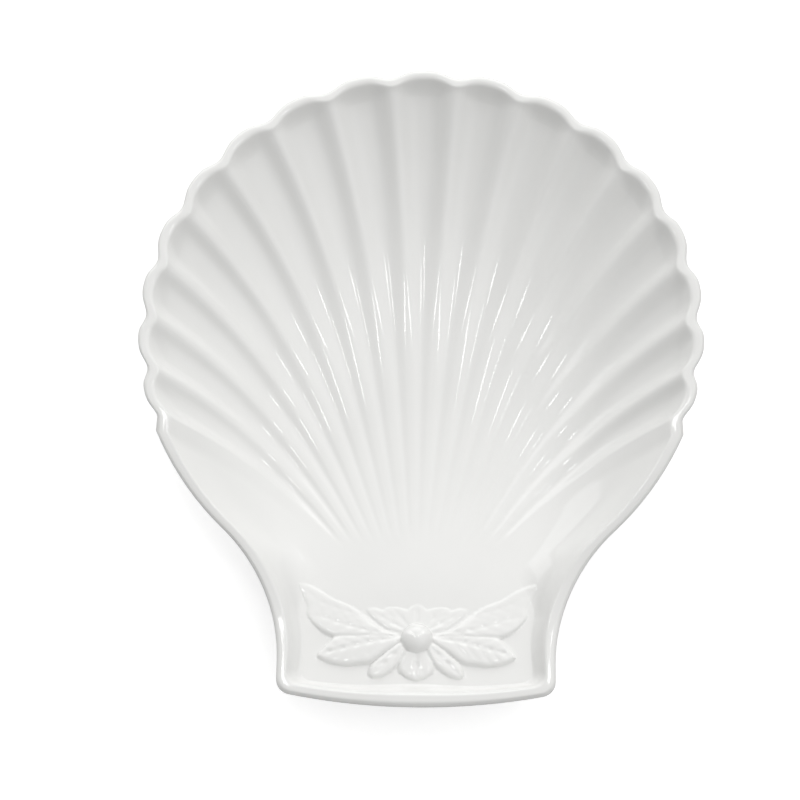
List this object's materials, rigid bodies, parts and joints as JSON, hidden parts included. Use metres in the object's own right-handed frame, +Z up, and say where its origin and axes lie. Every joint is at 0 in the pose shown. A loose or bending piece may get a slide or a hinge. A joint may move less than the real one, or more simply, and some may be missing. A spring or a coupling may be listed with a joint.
{
  "type": "shell shaped platter",
  "caption": "Scallop shell serving platter in white glazed porcelain, with a fluted fan, a smooth neck and a square grip whose sunk panel holds a moulded leaf spray round a bead",
  "frame": {"origin": "below the middle of the platter's outline, on the plane that the foot ring stands on", "axes": "+Z up out of the dish, +Y from the grip towards the fan, +X to the right when seen from the grip"},
  "size_m": [0.2628, 0.3106, 0.041],
  "materials": {
    "glaze": "clear gloss glaze over white porcelain, bare on the foot ring"
  },
  "bodies": {
    "root": {"shell_platter": "glaze"}
  },
  "joints": []
}
